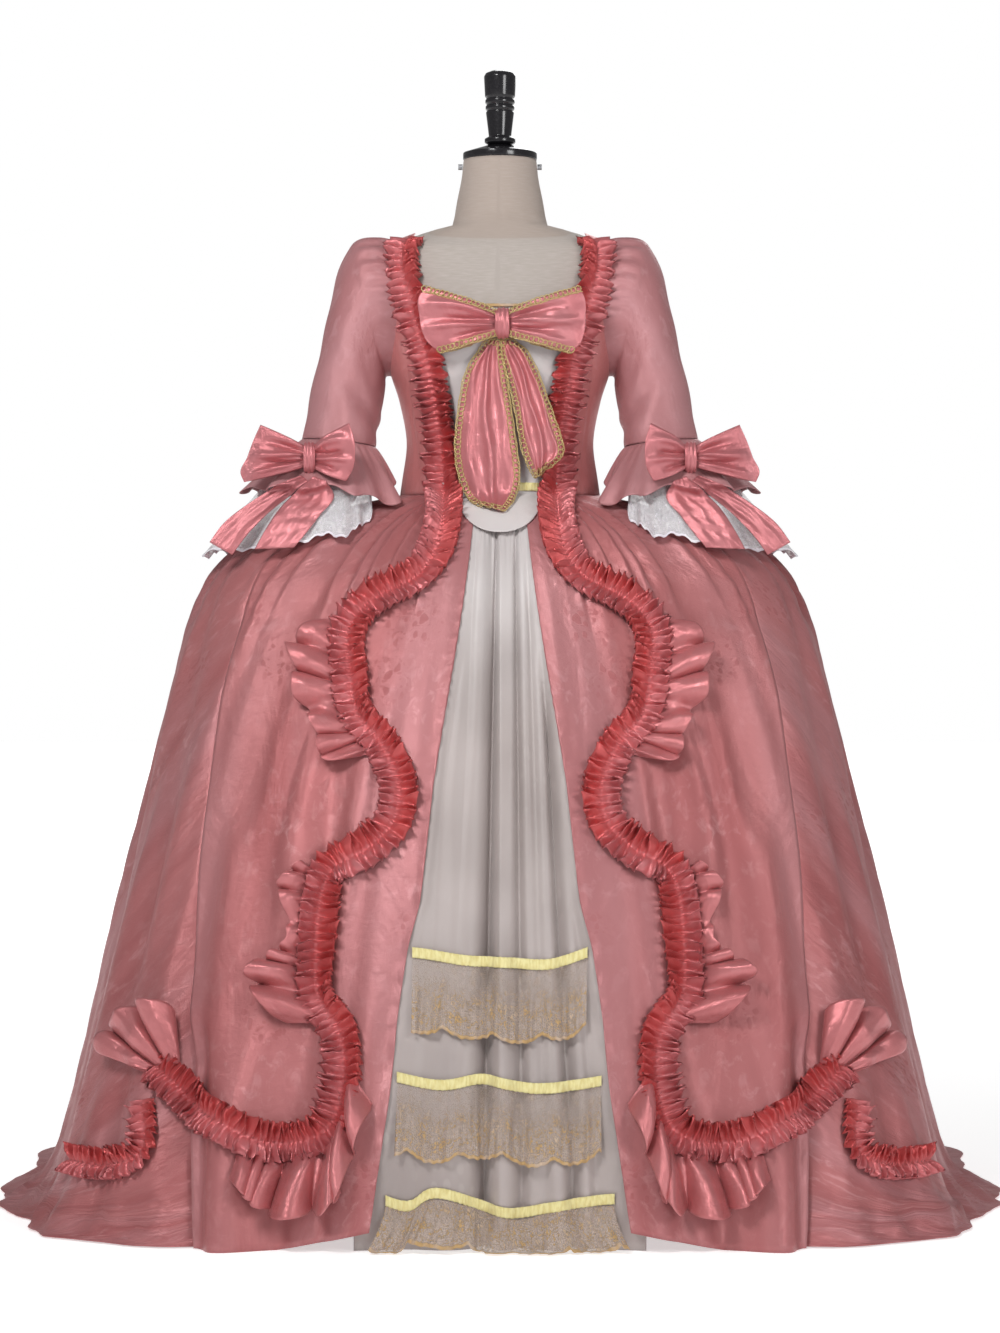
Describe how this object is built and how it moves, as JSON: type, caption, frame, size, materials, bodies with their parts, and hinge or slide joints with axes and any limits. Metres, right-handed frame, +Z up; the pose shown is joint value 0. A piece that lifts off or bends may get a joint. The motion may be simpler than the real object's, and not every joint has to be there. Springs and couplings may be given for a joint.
{
  "type": "ball gown on a limbless dress form",
  "caption": "Rococo style ball gown in pink satin: open overskirt with train, cream petticoat, gathered ruffles, lace cuffs and bows, on a limbless dress form.",
  "frame": {"origin": "centre of the stand's flat foot, on the floor, on the pole's axis", "axes": "+Z up along the pole, -Y towards the front of the gown, +X towards the wearer's left"},
  "size_m": [1.4024, 1.3278, 1.5556],
  "materials": {
    "pink_satin": "dusty pink satin jacquard",
    "coral_ruffle": "coral satin, gathered",
    "cream_satin": "off-white satin",
    "yellow_ribbon": "pale yellow gathered ribbon",
    "white_lace": "white lace",
    "gold_lace": "ecru and gold embroidered lace",
    "linen": "matt linen cover",
    "black_gloss": "glossy black",
    "steel": "satin"
  },
  "bodies": {
    "root": {"base_foot": "black_gloss", "pole": "steel", "form_torso": "linen", "neck_cap": "black_gloss", "finial": "black_gloss", "stud_l": "steel", "stud_r": "steel", "bodice_front_l": "pink_satin", "bodice_front_r": "pink_satin", "bodice_back_l": "pink_satin", "bodice_back_r": "pink_satin", "stomacher": "cream_satin", "neck_strip": "gold_lace", "tab_stripe": "yellow_ribbon", "sleeve_l": "pink_satin", "sleeve_r": "pink_satin", "cuff_flounce_l": "pink_satin", "cuff_flounce_r": "pink_satin", "cuff_lace_l": "white_lace", "cuff_lace_r": "white_lace", "cuff_bow_l": "pink_satin", "cuff_bow_r": "pink_satin", "cuff_knot_l": "pink_satin", "cuff_knot_r": "pink_satin", "cuff_tail_out_l": "pink_satin", "cuff_tail_out_r": "pink_satin", "cuff_tail_in_l": "pink_satin", "cuff_tail_in_r": "pink_satin", "bow_loops": "pink_satin", "bow_knot": "pink_satin", "bow_tail_l": "pink_satin", "bow_tail_r": "pink_satin", "ruffle_body_l": "coral_ruffle", "ruffle_body_r": "coral_ruffle", "ruffle_skirt_l": "coral_ruffle", "ruffle_skirt_r": "coral_ruffle", "ruffle_train_l": "coral_ruffle", "ruffle_train_r": "coral_ruffle", "fan_upper_l": "pink_satin", "fan_upper_r": "pink_satin", "fan_middle_l": "pink_satin", "fan_middle_r": "pink_satin", "fan_lower_l": "pink_satin", "fan_lower_r": "pink_satin", "fan_side_l": "pink_satin", "fan_side_r": "pink_satin", "overskirt_l": "pink_satin", "overskirt_r": "pink_satin", "train": "pink_satin", "petticoat": "cream_satin", "ribbon_a": "yellow_ribbon", "ribbon_b": "yellow_ribbon", "ribbon_c": "yellow_ribbon", "lace_a": "gold_lace", "lace_b": "gold_lace", "lace_c": "gold_lace"}
  },
  "joints": []
}
